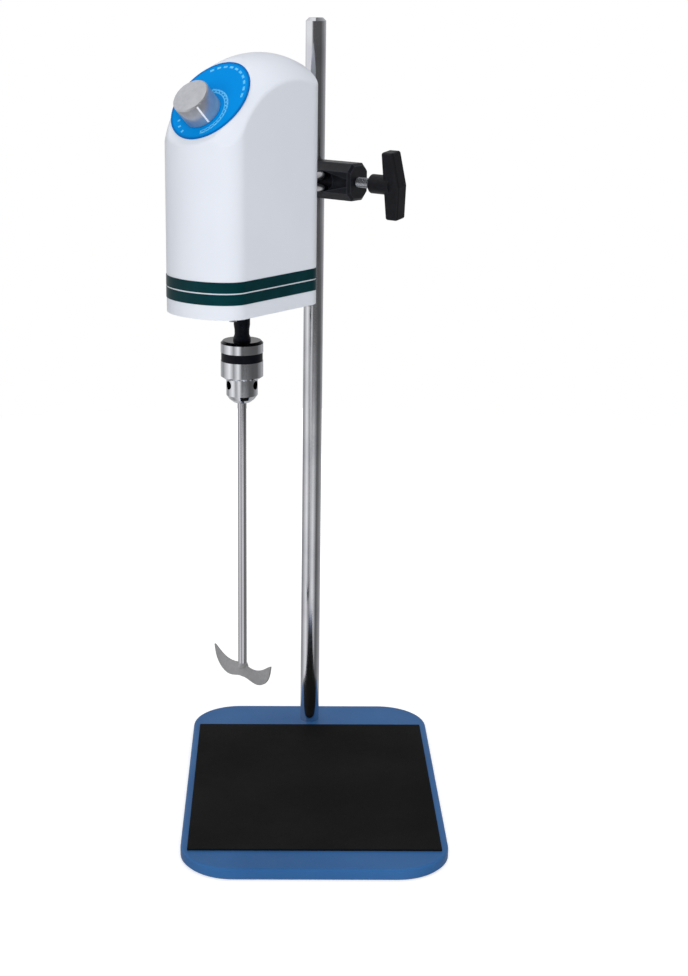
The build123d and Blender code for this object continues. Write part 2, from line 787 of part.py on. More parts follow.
def cooling_fan():
    top = FAN_Z + FAN_H
    fan = disc(FAN_HUB_D, FAN_Z, top) + disc(FAN_D, top - FAN_DISC_T, top)
    root = FAN_HUB_D / 2 - OVERCUT
    blade = block(root, FAN_D / 2, -FAN_BLADE_T / 2, FAN_BLADE_T / 2, FAN_Z, top)
    for index in range(FAN_BLADES):
        fan += Rot(0, 0, 360 / FAN_BLADES * index) * blade
    return fan - disc(MOTOR_SHAFT_D, FAN_Z, top)


# ---------------------------------------------------------------- speed control board
def circuit_board():
    half_l = BOARD_L / 2
    half_h = BOARD_H / 2
    low_x = BOARD_X - BOARD_T
    board = block(low_x, BOARD_X, BOARD_Y - half_l, BOARD_Y + half_l, BOARD_Z - half_h, BOARD_Z + half_h)
    for y, z in board_post_places():
        board -= rod_x(M3_D, low_x, BOARD_X, y, z)
    return board


def board_screws():
    screw = Rot(0, -90, 0) * pan_screw(M3_HEAD_D, M3_HEAD_T, M3_D, BOARD_T + BOARD_SCREW_BITE)
    return [Pos(BOARD_X, y, z) * screw for y, z in board_post_places()]


def on_board(diameter, height, place):
    """Upright round part standing on the board's inner face."""
    return rod_x(diameter, BOARD_X, BOARD_X + height, BOARD_Y + place[0], BOARD_Z + place[1])


def board_components():
    capacitor = on_board(CAPACITOR_D, CAPACITOR_L, CAPACITOR_AT)
    choke = on_board(CHOKE_D, CHOKE_H, CHOKE_AT) - on_board(CHOKE_BORE_D, CHOKE_H, CHOKE_AT)
    triac_place = (BOARD_X, BOARD_Y + TRIAC_AT[0], BOARD_Z + TRIAC_AT[1])
    triac = Pos(*triac_place) * Box(*TRIAC_SIZE, align=(Align.MIN, Align.CENTER, Align.CENTER))
    return capacitor, choke, triac


# ---------------------------------------------------------------- adaptor and chuck
def spindle_adaptor():
    points = [(0, CHUCK_TOP), (ADAPTOR_FOOT_D / 2, CHUCK_TOP), (ADAPTOR_FOOT_D / 2, CHUCK_TOP + 1.5)]
    points += [(ADAPTOR_WAIST_D / 2, CHUCK_TOP + 4.5), (ADAPTOR_WAIST_D / 2, ADAPTOR_WAIST_Z)]
    points += [(ADAPTOR_D / 2, ADAPTOR_WAIST_Z + 4), (ADAPTOR_D / 2, ADAPTOR_TOP), (0, ADAPTOR_TOP)]
    body = turned(points) + disc(ADAPTOR_STUB_D, CHUCK_TOP - ADAPTOR_STUB_L, CHUCK_TOP)
    body -= disc(MOTOR_SHAFT_D, ADAPTOR_BORE_BOTTOM, ADAPTOR_TOP)
    return body - adaptor_turn() * rod_y(M3_D, -ADAPTOR_D, -MOTOR_SHAFT_D / 2, 0, adaptor_screw_z())


def adaptor_turn():
    return Rot(0, 0, HEAD_YAW)


def adaptor_screw_z():
    return ADAPTOR_BORE_BOTTOM + M3_D


def adaptor_screw():
    return adaptor_turn() * rod_y(M3_D, -ADAPTOR_D / 2 + 0.6, -MOTOR_SHAFT_D / 2, 0, adaptor_screw_z())


def jaw_frame(turn):
    """Frame at a jaw's lower end, Z along the jaw's slide, X away from the spindle."""
    return Rot(0, 0, turn) * Location((JAW_AXIS_R, 0, JAW_BOTTOM), (0, JAW_TILT, 0))


def chuck_body():
    points = [(0, NOSE_END), (NOSE_END_D / 2, NOSE_END)]
    points += [(NOSE_MID_D / 2, NOSE_MID_Z), (NOSE_D / 2, NOSE_STRAIGHT)]
    points += [(NOSE_D / 2, NUT_BOTTOM - SEAT_GAP), (GROOVE_D / 2, NUT_BOTTOM - SEAT_GAP)]
    core_d = CORE_D - 2 * RUNNING
    points += [(GROOVE_D / 2, NUT_TOP + SEAT_GAP), (core_d / 2, NUT_TOP + SEAT_GAP)]
    points += [(core_d / 2, COLLAR_BOTTOM)]
    points += [(CHUCK_D / 2, COLLAR_BOTTOM), (CHUCK_D / 2, CHUCK_TOP - CHUCK_TOP_CHAMFER)]
    points += [(CHUCK_D / 2 - CHUCK_TOP_CHAMFER, CHUCK_TOP), (0, CHUCK_TOP)]
    body = turned(points)
    body -= disc(SHAFT_BORE_D, NOSE_END, SHAFT_BORE_TOP)
    body -= disc(ADAPTOR_STUB_D, CHUCK_TOP - ADAPTOR_STUB_L, CHUCK_TOP)
    for turn in TURNS:
        body -= jaw_frame(turn) * disc(JAW_D + 2 * RUNNING, -JAW_BORE_EXTRA, JAW_LENGTH + JAW_BORE_EXTRA)
        key_turn = Rot(0, 0, turn + 60)
        body -= key_turn * rod_x(KEY_HOLE_D, NOSE_D / 2 - KEY_HOLE_DEPTH, NOSE_D, 0, KEY_HOLE_Z)
    return body


def chuck_sleeve():
    band_in = SLEEVE_BAND_D / 2 - SLEEVE_BAND_T
    nose_in = NOSE_D / 2 + RUNNING
    points = [(nose_in, SLEEVE_BOTTOM), (CHUCK_D / 2 - SLEEVE_CHAMFER, SLEEVE_BOTTOM)]
    points += [(CHUCK_D / 2, SLEEVE_BOTTOM + SLEEVE_CHAMFER_H), (CHUCK_D / 2, SLEEVE_BAND_BOTTOM)]
    points += [(band_in, SLEEVE_BAND_BOTTOM), (band_in, SLEEVE_TOP), (CORE_D / 2, SLEEVE_TOP)]
    points += [(CORE_D / 2, NUT_BOTTOM), (nose_in, NUT_BOTTOM)]
    sleeve = turned(points)
    for index in range(TOOTH_COUNT):
        sleeve -= Rot(0, 0, 360 / TOOTH_COUNT * index) * tooth_gap()
    return sleeve


def tooth_gap():
    face = make_face(Polyline((-TOOTH_HALF_W, 0), (TOOTH_HALF_W, 0), (0, TOOTH_H), close=True))
    notch = extrude(Plane.YZ * face, CHUCK_D / 2 - NOSE_D / 2)
    return Pos(NOSE_D / 2, 0, SLEEVE_BOTTOM) * notch


def sleeve_grip():
    return tube(SLEEVE_BAND_D, SLEEVE_BAND_D - 2 * SLEEVE_BAND_T, SLEEVE_BAND_BOTTOM, SLEEVE_TOP)


def chuck_nut():
    return tube(CORE_D, NUT_BORE_D, NUT_BOTTOM, NUT_TOP)


def chuck_jaw(turn):
    jaw = jaw_frame(0) * disc(JAW_D, 0, JAW_LENGTH)
    face = SHAFT_D / 2 + SEAT_GAP
    keep = block(face, CHUCK_D, -JAW_D, JAW_D, JAW_BOTTOM - JAW_BELOW, JAW_BOTTOM + 2 * JAW_LENGTH)
    return Rot(0, 0, turn) * (jaw & keep)


# ---------------------------------------------------------------- stirring shaft and propeller
def stirring_shaft():
    return disc(SHAFT_D, SHAFT_BOTTOM, SHAFT_TOP)


def blade_section(radius, width, lean, rise):
    across = (0, cos(radians(lean)), sin(radians(lean)))
    plane = Plane(origin=(radius, 0, PROP_Z + rise), x_dir=across, z_dir=(1, 0, 0))
    return plane * Rectangle(width, PROP_T)


def propeller_blade():
    inner = (BLADE_ROOT, BLADE_INNER, BLADE_MIDDLE)
    outer = (BLADE_OUTER, BLADE_SHOULDER, BLADE_TIP)
    return loft([blade_section(*station) for station in inner + outer])


def propeller():
    blade = propeller_blade()
    whole = Rot(0, 0, PROP_TURN) * (blade + Rot(0, 0, 180) * blade)
    weld = Pos(0, 0, SHAFT_BOTTOM) * Cone(WELD_D / 2, SHAFT_D / 2, WELD_H, align=FROM_LOW)
    return whole + weld - disc(SHAFT_D, SHAFT_BOTTOM, SHAFT_TOP)


def main():
    os.makedirs("parts", exist_ok=True)
    level = Location((0, 0, 0))
    save("base_plate", level, base_plate())
    save("work_mat", level, work_mat())
    save("rubber_feet", level, *[rubber_foot(x, y) for x, y in foot_places()])
    save("foot_screws", level, *[foot_screw(x, y) for x, y in foot_places()])
    save("pillar", STAND, pillar())
    save("clamp_body", STAND, clamp_body())
    save("pressure_pad", STAND, pressure_pad())
    save("clamp_screw", STAND, clamp_screw())
    save("clamp_handle", STAND, clamp_handle())
    save("handle_insert", STAND, handle_insert())
    save("housing_shell", HEAD, housing_shell())
    save("bottom_plate", HEAD, bottom_plate())
    save("bottom_screws", HEAD, *bottom_screws())
    save("stripe_tapes", HEAD, *stripes())
    save("dial_plate", HEAD, dial_plate())
    save("potentiometer", HEAD * knob_frame(), potentiometer())
    save("potentiometer_nut", HEAD * knob_frame(), potentiometer_nut())
    save("potentiometer_shaft", HEAD * knob_frame(), potentiometer_shaft())
    save("speed_knob", HEAD * knob_frame(), speed_knob())
    save("knob_grub_screw", HEAD * knob_frame(), knob_grub())
    save("bar_socket", HEAD, bar_socket())
    save("socket_grub_screw", HEAD, socket_grub())
    save("socket_screws", HEAD, *socket_screws())
    save("mounting_bar", HEAD, mounting_bar())
    save("cord_grommet", HEAD, cord_grommet())
    save("motor_lower_cap", HEAD, lower_end_cap())
    save("motor_screws", HEAD, *motor_screws())
    save("motor_bearings", HEAD, bearing(lower_cap_top() - BEARING_W), bearing(CASE_TOP))
    save("motor_case", HEAD, motor_case())
    save("motor_upper_cap", HEAD, upper_end_cap())
    save("stator_core", HEAD, stator_core())
    save("field_coils", HEAD, *field_coils())
    save("brush_holders", HEAD, brush_holder(1), brush_holder(-1))
    save("carbon_brushes", HEAD, carbon_brush(1), carbon_brush(-1))
    save("brush_springs", HEAD, brush_spring(1), brush_spring(-1))
    save("motor_shaft", HEAD, motor_shaft())
    save("armature_core", HEAD, armature_core())
    save("armature_windings", HEAD, *armature_windings())
    save("commutator", HEAD, commutator())
    save("cooling_fan", HEAD, cooling_fan())
    save("circuit_board", HEAD, circuit_board())
    save("board_screws", HEAD, *board_screws())
    save("board_components", HEAD, *board_components())
    save("spindle_adaptor", HEAD, spindle_adaptor())
    save("adaptor_screw", HEAD, adaptor_screw())
    save("chuck_body", HEAD, chuck_body())
    save("chuck_sleeve", HEAD, chuck_sleeve())
    save("sleeve_grip", HEAD, sleeve_grip())
    save("chuck_nut", HEAD, chuck_nut())
    for number, turn in enumerate(TURNS, 1):
        save(f"chuck_jaw_{number}", HEAD, chuck_jaw(turn))
    save("stirring_shaft", HEAD, stirring_shaft())
    save("propeller", HEAD, propeller())


main()
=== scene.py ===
"""The overhead stirrer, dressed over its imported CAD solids. Metres, +Z up, in the CAD frame."""
import json
from math import cos, pi, radians, sin

import bmesh
import bpy
from mathutils import Matrix, Vector

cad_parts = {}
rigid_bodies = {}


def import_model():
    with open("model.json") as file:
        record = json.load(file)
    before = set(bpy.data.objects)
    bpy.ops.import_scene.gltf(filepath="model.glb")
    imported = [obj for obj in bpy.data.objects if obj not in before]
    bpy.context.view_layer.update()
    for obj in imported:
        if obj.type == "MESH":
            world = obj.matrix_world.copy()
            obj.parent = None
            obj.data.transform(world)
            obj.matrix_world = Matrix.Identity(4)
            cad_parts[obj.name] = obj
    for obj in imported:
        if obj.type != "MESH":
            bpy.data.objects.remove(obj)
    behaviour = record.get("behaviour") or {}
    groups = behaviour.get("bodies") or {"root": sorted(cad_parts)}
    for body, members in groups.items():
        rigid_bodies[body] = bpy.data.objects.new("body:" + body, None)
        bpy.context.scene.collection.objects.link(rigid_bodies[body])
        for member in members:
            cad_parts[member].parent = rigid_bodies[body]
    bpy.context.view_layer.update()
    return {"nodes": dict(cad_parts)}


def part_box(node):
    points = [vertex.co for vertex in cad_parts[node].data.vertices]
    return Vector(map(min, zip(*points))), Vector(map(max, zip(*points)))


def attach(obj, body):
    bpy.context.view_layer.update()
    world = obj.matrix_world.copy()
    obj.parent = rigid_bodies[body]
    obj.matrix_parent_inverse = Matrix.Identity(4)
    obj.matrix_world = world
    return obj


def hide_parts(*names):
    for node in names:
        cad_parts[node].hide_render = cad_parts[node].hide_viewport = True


for leftover in list(bpy.data.objects):
    bpy.data.objects.remove(leftover)
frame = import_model()
solids = frame["nodes"]


# ---- Base plate
# A heavy cast-iron plate with rounded corners and edges, stove-enamelled blue.
# The enamel is smooth, with a slight orange peel.
ENAMEL_BLUE = (50, 102, 158)
ENAMEL_SHADE = (43, 92, 146)
ENAMEL_PATCHES = 9.0
ENAMEL_PEEL = 900.0
ENAMEL_PEEL_DEPTH = 0.00006


def chart(colour):
    """A paint-chart colour, 0 to 255 a channel, as the linear colour a shader takes."""
    shares = (channel / 255 for channel in colour)
    linear = (s / 12.92 if s <= 0.04045 else ((s + 0.055) / 1.055) ** 2.4 for s in shares)
    return (*linear, 1.0)


def new_finish(name, colour, roughness, metallic=0.0, coat=0.0, specular=0.5):
    """A finish in one colour, ready for its grain and shading to be added."""
    finish = bpy.data.materials.new(name)
    finish.use_nodes = True
    shader = finish.node_tree.nodes["Principled BSDF"]
    shader.inputs["Base Color"].default_value = chart(colour)
    shader.inputs["Roughness"].default_value = roughness
    shader.inputs["Metallic"].default_value = metallic
    shader.inputs["Coat Weight"].default_value = coat
    shader.inputs["Specular IOR Level"].default_value = specular
    shader.inputs["Coat Roughness"].default_value = 0.06
    return finish


def surface_place(finish, stretch=(1, 1, 1), centre=(0, 0, 0), turn=(0, 0, 0)):
    """Coordinates fixed to the piece itself, measured from a centre and along turned axes."""
    nodes = finish.node_tree.nodes
    links = finish.node_tree.links
    own = nodes.new("ShaderNodeTexCoord")
    seat = nodes.new("ShaderNodeMapping")
    seat.vector_type = "TEXTURE"
    seat.inputs["Location"].default_value = centre
    seat.inputs["Rotation"].default_value = turn
    seat.inputs["Scale"].default_value = stretch
    links.new(own.outputs["Object"], seat.inputs["Vector"])
    return seat.outputs["Vector"]


def speckle(finish, per_metre, detail=3.0, **seat):
    """Soft random variation, so many features to the metre."""
    noise = finish.node_tree.nodes.new("ShaderNodeTexNoise")
    noise.inputs["Scale"].default_value = per_metre
    noise.inputs["Detail"].default_value = detail
    finish.node_tree.links.new(surface_place(finish, **seat), noise.inputs["Vector"])
    return noise.outputs["Fac"]


def shade(finish, amount, darker, lighter, low=0.35, high=0.65):
    """Lets the colour drift from a darker to a lighter tone with the amount."""
    ramp = finish.node_tree.nodes.new("ShaderNodeValToRGB")
    ramp.color_ramp.elements[0].position = low
    ramp.color_ramp.elements[0].color = chart(darker)
    ramp.color_ramp.elements[1].position = high
    ramp.color_ramp.elements[1].color = chart(lighter)
    shader = finish.node_tree.nodes["Principled BSDF"]
    finish.node_tree.links.new(amount, ramp.inputs["Fac"])
    finish.node_tree.links.new(ramp.outputs["Color"], shader.inputs["Base Color"])
    return ramp


def relief(finish, height, depth, coated=False):
    """Raises the surface by the height pattern; a second call adds to the first."""
    tree = finish.node_tree
    shader = tree.nodes["Principled BSDF"]
    bump = tree.nodes.new("ShaderNodeBump")
    bump.inputs["Distance"].default_value = depth
    below = shader.inputs["Normal"]
    if below.is_linked:
        tree.links.new(below.links[0].from_socket, bump.inputs["Normal"])
    tree.links.new(height, bump.inputs["Height"])
    tree.links.new(bump.outputs["Normal"], shader.inputs["Normal"])
    if coated:
        tree.links.new(bump.outputs["Normal"], shader.inputs["Coat Normal"])


def polish(finish, amount, smooth, rough):
    """Varies the roughness with the amount, as handling and wear do."""
    spread = finish.node_tree.nodes.new("ShaderNodeMapRange")
    spread.inputs["From Min"].default_value = 0.3
    spread.inputs["From Max"].default_value = 0.7
    spread.inputs["To Min"].default_value = smooth
    spread.inputs["To Max"].default_value = rough
    shader = finish.node_tree.nodes["Principled BSDF"]
    finish.node_tree.links.new(amount, spread.inputs["Value"])
    finish.node_tree.links.new(spread.outputs["Result"], shader.inputs["Roughness"])


def give(finish, *names):
    """Puts a finish on CAD solids."""
    for name in names:
        for slot in solids[name].material_slots:
            slot.material = finish


enamel = new_finish("base enamel", ENAMEL_BLUE, roughness=0.4, coat=0.05, specular=0.16)
shade(enamel, speckle(enamel, ENAMEL_PATCHES), ENAMEL_SHADE, ENAMEL_BLUE)
polish(enamel, speckle(enamel, 30.0), 0.34, 0.46)
relief(enamel, speckle(enamel, ENAMEL_PEEL, detail=1.0), ENAMEL_PEEL_DEPTH, coated=True)
give(enamel, "base_plate")


# ---- Work mat
# A sheet of black nitrile rubber glued to the plate so that vessels don't slide.
# It is calendered with a fine leather grain and picks up a little dust.
RUBBER_BLACK = (18, 18, 18)
RUBBER_DUST = (20, 20, 20)
MAT_GRAIN = 1400.0
MAT_GRAIN_DEPTH = 0.0002


def leather_grain(finish, per_metre):
    """Small rounded cells like the grain pressed into rubber and plastic."""
    cells = finish.node_tree.nodes.new("ShaderNodeTexVoronoi")
    cells.feature = "SMOOTH_F1"
    cells.inputs["Scale"].default_value = per_metre
    finish.node_tree.links.new(surface_place(finish), cells.inputs["Vector"])
    return cells.outputs["Distance"]


mat_rubber = new_finish("mat rubber", RUBBER_BLACK, roughness=0.72, specular=0.06)
shade(mat_rubber, speckle(mat_rubber, 25.0), RUBBER_BLACK, RUBBER_DUST)
polish(mat_rubber, speckle(mat_rubber, 14.0), 0.62, 0.8)
relief(mat_rubber, leather_grain(mat_rubber, MAT_GRAIN), MAT_GRAIN_DEPTH)
give(mat_rubber, "work_mat")


# ---- Feet and the cord grommet
# Moulded rubber pads let into the underside of the plate, and the rubber ring that
# lines the cord's hole at the back of the head. Both are matt from the mould.
foot_rubber = new_finish("moulded rubber", RUBBER_BLACK, roughness=0.65)
shade(foot_rubber, speckle(foot_rubber, 60.0), (24, 24, 25), (36, 36, 37))
relief(foot_rubber, speckle(foot_rubber, 2500.0), 0.00008)
give(foot_rubber, "rubber_feet", "cord_grommet")


# ---- Screws
# Zinc-plated steel machine screws, slightly yellowed, with the die's fine marks.
ZINC = (196, 198, 200)
ZINC_STAIN = (176, 174, 168)
zinc = new_finish("zinc-plated steel", ZINC, roughness=0.3, metallic=1.0)
shade(zinc, speckle(zinc, 420.0), ZINC_STAIN, ZINC)
polish(zinc, speckle(zinc, 900.0), 0.22, 0.42)
give(zinc, "foot_screws", "bottom_screws", "board_screws", "socket_screws", "motor_screws")
give(zinc, "knob_grub_screw", "socket_grub_screw", "brush_springs")


# ---- Pillar and mounting bar
# Centreless-ground steel rods, hard chromed. The grinding leaves a fine lay round
# the rod that softens its reflections a little.
CHROME = (222, 223, 226)
CHROME_SHADE = (206, 207, 212)
GRINDING_LINES = 2600.0
GRINDING_DEPTH = 0.000004
chrome = new_finish("hard chrome", CHROME, roughness=0.12, metallic=1.0)
shade(chrome, speckle(chrome, 30.0), CHROME_SHADE, CHROME)
lay = speckle(chrome, GRINDING_LINES, stretch=(8, 8, 0.4))
relief(chrome, lay, GRINDING_DEPTH)
polish(chrome, speckle(chrome, 40.0, stretch=(1, 1, 4)), 0.08, 0.17)
give(chrome, "pillar", "mounting_bar")


# ---- Clamp body
# A die-cast zinc block with two crossing bores, stove-enamelled black. Its rounded
# edges carry a painted highlight in a lighter blue-grey.
CLAMP_BLACK = (18, 19, 24)
CLAMP_EDGE_HIGHLIGHT = (52, 54, 64)
CLAMP_EDGE_WIDTH = 0.0009
CAST_PITS = 1500.0
CAST_DEPTH = 0.00022


def edge_highlight(finish, width, paint, painted_highlight):
    """Paints a lighter highlight where an edge is rounded off within the given width."""
    tree = finish.node_tree
    sharp = tree.nodes.new("ShaderNodeNewGeometry")
    rounded = tree.nodes.new("ShaderNodeBevel")
    rounded.inputs["Radius"].default_value = width
    rounded.samples = 6
    match = tree.nodes.new("ShaderNodeVectorMath")
    match.operation = "DOT_PRODUCT"
    tree.links.new(sharp.outputs["Normal"], match.inputs[0])
    tree.links.new(rounded.outputs["Normal"], match.inputs[1])
    return shade(finish, match.outputs["Value"], painted_highlight, paint, low=0.94, high=0.995)


cast_black = new_finish("black stoved casting", CLAMP_BLACK, roughness=0.4, coat=0.12, specular=0.25)
# Painted highlight: the clamp's rounded edges are coloured a lighter blue-grey.
edge_highlight(cast_black, CLAMP_EDGE_WIDTH, CLAMP_BLACK, CLAMP_EDGE_HIGHLIGHT)
relief(cast_black, speckle(cast_black, CAST_PITS), CAST_DEPTH)
polish(cast_black, speckle(cast_black, 160.0), 0.32, 0.5)
give(cast_black, "clamp_body")


# ---- Clamp screw and pressure pad
# An M8 screw rolled from bright steel pushes a brass pad on to the bar.
# The thread is built here in place of the plain CAD rod, over its whole length.
HEAD_YAW = radians(40)
ACROSS = Vector((cos(HEAD_YAW), -sin(HEAD_YAW), 0))
BACKWARD = Vector((sin(HEAD_YAW), cos(HEAD_YAW), 0))
THREAD_PITCH = 0.00125
THREAD_DEPTH = 0.00068
THREAD_STEPS = 6
THREAD_SIDES = 36


def reach_along(name, axis):
    """How far a CAD solid reaches along an axis, lowest and highest."""
    places = [vertex.co.dot(axis) for vertex in solids[name].data.vertices]
    return min(places), max(places)


def middle_of(name):
    """The middle of a CAD solid's box."""
    low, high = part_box(name)
    return (Vector(low) + Vector(high)) / 2


def thread_radius(travel, angle, radius):
    """The radius of a rolled thread at one place: straight flanks, flat root and crest."""
    phase = (travel / THREAD_PITCH - angle / (2 * pi)) % 1.0
    flank = min(1.0, max(0.0, 1.6 * abs(2 * phase - 1) - 0.3))
    return radius - THREAD_DEPTH * (1 - flank)


def threaded_rod(name, middle, axis, length, radius):
    """A rod with a helical thread over its whole length and both ends capped."""
    side = axis.cross(Vector((0, 0, 1))).normalized()
    up = side.cross(axis)
    rod = bmesh.new()
    rings = []
    count = round(length / THREAD_PITCH * THREAD_STEPS)
    for ring in range(count + 1):
        travel = length * ring / count
        end = min(travel, length - travel)
        turn = []
        for step in range(THREAD_SIDES):
            angle = 2 * pi * step / THREAD_SIDES
            reach = min(thread_radius(travel, angle, radius), radius - THREAD_DEPTH + end)
            rim = side * cos(angle) + up * sin(angle)
            turn.append(rod.verts.new(middle + axis * (travel - length / 2) + rim * reach))
        rings.append(turn)
    for lower, upper in zip(rings, rings[1:]):
        for step in range(THREAD_SIDES):
            onward = (step + 1) % THREAD_SIDES
            rod.faces.new((lower[step], lower[onward], upper[onward], upper[step]))
    rod.faces.new(reversed(rings[0]))
    rod.faces.new(rings[-1])
    return finished_mesh(rod, name)


def finished_mesh(shape, name, smooth=True):
    """Turns a bmesh into an object of that name in the scene."""
    bmesh.ops.recalc_face_normals(shape, faces=shape.faces)
    mesh = bpy.data.meshes.new(name)
    shape.to_mesh(mesh)
    shape.free()
    if smooth:
        mesh.shade_smooth()
    piece = bpy.data.objects.new(name, mesh)
    bpy.context.scene.collection.objects.link(piece)
    return piece


steel = new_finish("bright steel", (198, 200, 205), roughness=0.24, metallic=1.0)
shade(steel, speckle(steel, 300.0), (178, 180, 186), (204, 206, 211))
polish(steel, speckle(steel, 700.0), 0.18, 0.34)
screw_low, screw_high = reach_along("clamp_screw", ACROSS)
screw_middle = middle_of("clamp_screw")
screw_radius = (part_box("clamp_screw")[1][2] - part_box("clamp_screw")[0][2]) / 2
clamp_thread = threaded_rod(
    "clamp_screw_thread", screw_middle, ACROSS, screw_high - screw_low, screw_radius
)
clamp_thread.data.materials.append(steel)
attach(clamp_thread, "clamp_screw")
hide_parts("clamp_screw")
brass = new_finish("brass", (190, 160, 95), roughness=0.35, metallic=1.0)
shade(brass, speckle(brass, 200.0), (160, 130, 72), (196, 166, 100))
give(brass, "pressure_pad")
give(steel, "handle_insert")


# ---- Wing handle
# A wing of black glass-filled nylon moulded round a steel insert. The mould was
# spark-eroded, so the plastic is satin with a fine even grain.
NYLON_BLACK = (21, 21, 25)
NYLON_SHEEN = (36, 37, 42)
nylon = new_finish("black nylon", NYLON_BLACK, roughness=0.42, specular=0.22)
# Painted highlight: the handle's rounded edges are coloured lighter.
edge_highlight(nylon, 0.0007, NYLON_BLACK, NYLON_SHEEN)
relief(nylon, leather_grain(nylon, 2200.0), 0.00012)
polish(nylon, speckle(nylon, 90.0), 0.36, 0.5)
give(nylon, "clamp_handle", "cooling_fan")


# ---- Housing and bottom plate
# The head's one-piece metal housing in white enamel with a cool cast. A grey
# enamelled steel sheet closes it below.
LACQUER_WHITE = (224, 229, 238)
LACQUER_SHADE = (220, 225, 235)
LACQUER_WAVE = 16.0
LACQUER_PEEL = 700.0
lacquer = new_finish("white lacquer", LACQUER_WHITE, roughness=0.34, coat=0.1)
shade(lacquer, speckle(lacquer, 8.0), LACQUER_SHADE, LACQUER_WHITE)
relief(lacquer, speckle(lacquer, LACQUER_PEEL, detail=1.0), 0.00001)
polish(lacquer, speckle(lacquer, LACQUER_WAVE), 0.32, 0.38)
give(lacquer, "housing_shell")
floor_paint = new_finish("grey plate paint", (205, 207, 213), roughness=0.45)
shade(floor_paint, speckle(floor_paint, 14.0), (198, 200, 207), (208, 210, 216))
relief(floor_paint, speckle(floor_paint, 1100.0), 0.00008)
give(floor_paint, "bottom_plate")


# ---- Stripe tapes
# Two bands of dark green gloss vinyl tape wrapped round the housing above its foot.
TAPE_GREEN = (3, 52, 57)
TAPE_DEEP = (1, 44, 49)
vinyl = new_finish("green vinyl tape", TAPE_GREEN, roughness=0.28, specular=0.08)
shade(vinyl, speckle(vinyl, 40.0), TAPE_DEEP, TAPE_GREEN)
relief(vinyl, speckle(vinyl, 500.0, stretch=(1, 1, 0.3)), 0.00004)
give(vinyl, "stripe_tapes")


# ---- Dial plate and its markings
# A blue printed plate on the sloping face. Its pale printed scale runs
# round the knob, with plain dashes round the rim.
SLOPE = radians(47.9)
DIAL_BLUE = (0, 140, 224)
DIAL_KNOB_SHADE = (0, 126, 208)
DIAL_RIM = (0, 104, 180)
INK_PALE = (96, 196, 252)
INK_LIFT = 0.00006
INK_T = 0.00004
DIAL_UP = BACKWARD * cos(SLOPE) + Vector((0, 0, sin(SLOPE)))
DIAL_OUT = -BACKWARD * sin(SLOPE) + Vector((0, 0, cos(SLOPE)))
DIAL_TURN = Matrix((ACROSS, DIAL_UP, DIAL_OUT)).transposed()
dial_middle = middle_of("dial_plate")
dial_face = reach_along("dial_plate", DIAL_OUT)[1]
knob_middle = middle_of("potentiometer_shaft")
dial_across = reach_along("dial_plate", ACROSS)
dial_along = reach_along("dial_plate", DIAL_UP)
dial_half_w = (dial_across[1] - dial_across[0]) / 2
dial_half_h = (dial_along[1] - dial_along[0]) / 2


def on_dial(centre, right, up, lift=INK_LIFT):
    """A point on the dial's face, right and up from a centre."""
    flat = centre + ACROSS * right + DIAL_UP * up
    return flat + DIAL_OUT * (dial_face + lift - flat.dot(DIAL_OUT))


def ink_stroke(ink, centre, inner, outer):
    """One flat closed patch of ink between two lists of points on the dial."""
    corners = [on_dial(centre, *point) for point in inner + outer[::-1]]
    under = [on_dial(centre, *point, lift=INK_LIFT - INK_T) for point in inner + outer[::-1]]
    top = [ink.verts.new(corner) for corner in corners]
    bottom = [ink.verts.new(corner) for corner in under]
    half = len(inner)
    for step in range(half - 1):
        mirror = 2 * half - 1 - step
        ink.faces.new((top[step], top[step + 1], top[mirror - 1], top[mirror]))
        ink.faces.new((bottom[mirror], bottom[mirror - 1], bottom[step + 1], bottom[step]))
    for step in range(2 * half):
        onward = (step + 1) % (2 * half)
        ink.faces.new((top[step], bottom[step], bottom[onward], top[onward]))


def round_points(radius_w, radius_h, start, stop, count):
    """Points along an arc, angles counted from the right in degrees."""
    angles = [radians(start + (stop - start) * n / count) for n in range(count + 1)]
    return [(radius_w * cos(a), radius_h * sin(a)) for a in angles]


def ink_arc(ink, centre, radius, width, start, stop):
    """A printed arc of one radius."""
    inner = round_points(radius - width / 2, radius - width / 2, start, stop, 40)
    outer = round_points(radius + width / 2, radius + width / 2, start, stop, 40)
    ink_stroke(ink, centre, inner, outer)


def ink_tick(ink, centre, near, far, width, angle):
    """A printed tick that points at the centre."""
    turn = Matrix.Rotation(radians(angle), 2)
    near_side = [tuple(turn @ Vector((near, side))) for side in (-width / 2, width / 2)]
    far_side = [tuple(turn @ Vector((far, side))) for side in (-width / 2, width / 2)]
    ink_stroke(ink, centre, near_side, far_side)


SCALE_R = 0.0203
SCALE_START = -65
SCALE_STOP = 97
SCALE_TICKS = 16
RIM_INSET = 0.0045
RIM_DASH = 7
markings = bmesh.new()
ink_arc(markings, knob_middle, SCALE_R, 0.0013, SCALE_START, SCALE_STOP)
ink_arc(markings, knob_middle, SCALE_R - 0.0023, 0.0008, SCALE_START, SCALE_STOP)
for tick in range(SCALE_TICKS):
    angle = SCALE_START + (SCALE_STOP - SCALE_START) * tick / (SCALE_TICKS - 1)
    ink_tick(markings, knob_middle, SCALE_R - 0.0026, SCALE_R + 0.0006, 0.0012, angle)
for start in range(8, 128, RIM_DASH + 5):
    inner = round_points(
        dial_half_w - RIM_INSET - 0.001, dial_half_h - RIM_INSET - 0.001, start, start + RIM_DASH, 6
    )
    outer = round_points(
        dial_half_w - RIM_INSET + 0.0008, dial_half_h - RIM_INSET + 0.0008, start, start + RIM_DASH, 6
    )
    ink_stroke(markings, dial_middle, inner, outer)
for angle in (206, 224, 242):
    ink_tick(markings, knob_middle, SCALE_R - 0.001, SCALE_R + 0.0012, 0.0018, angle)
dial_markings = finished_mesh(markings, "dial_markings", smooth=False)
ink = new_finish("pale printing ink", INK_PALE, roughness=0.5)
shade(ink, speckle(ink, 900.0), (70, 180, 244), (104, 202, 250))
dial_markings.data.materials.append(ink)
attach(dial_markings, "head")

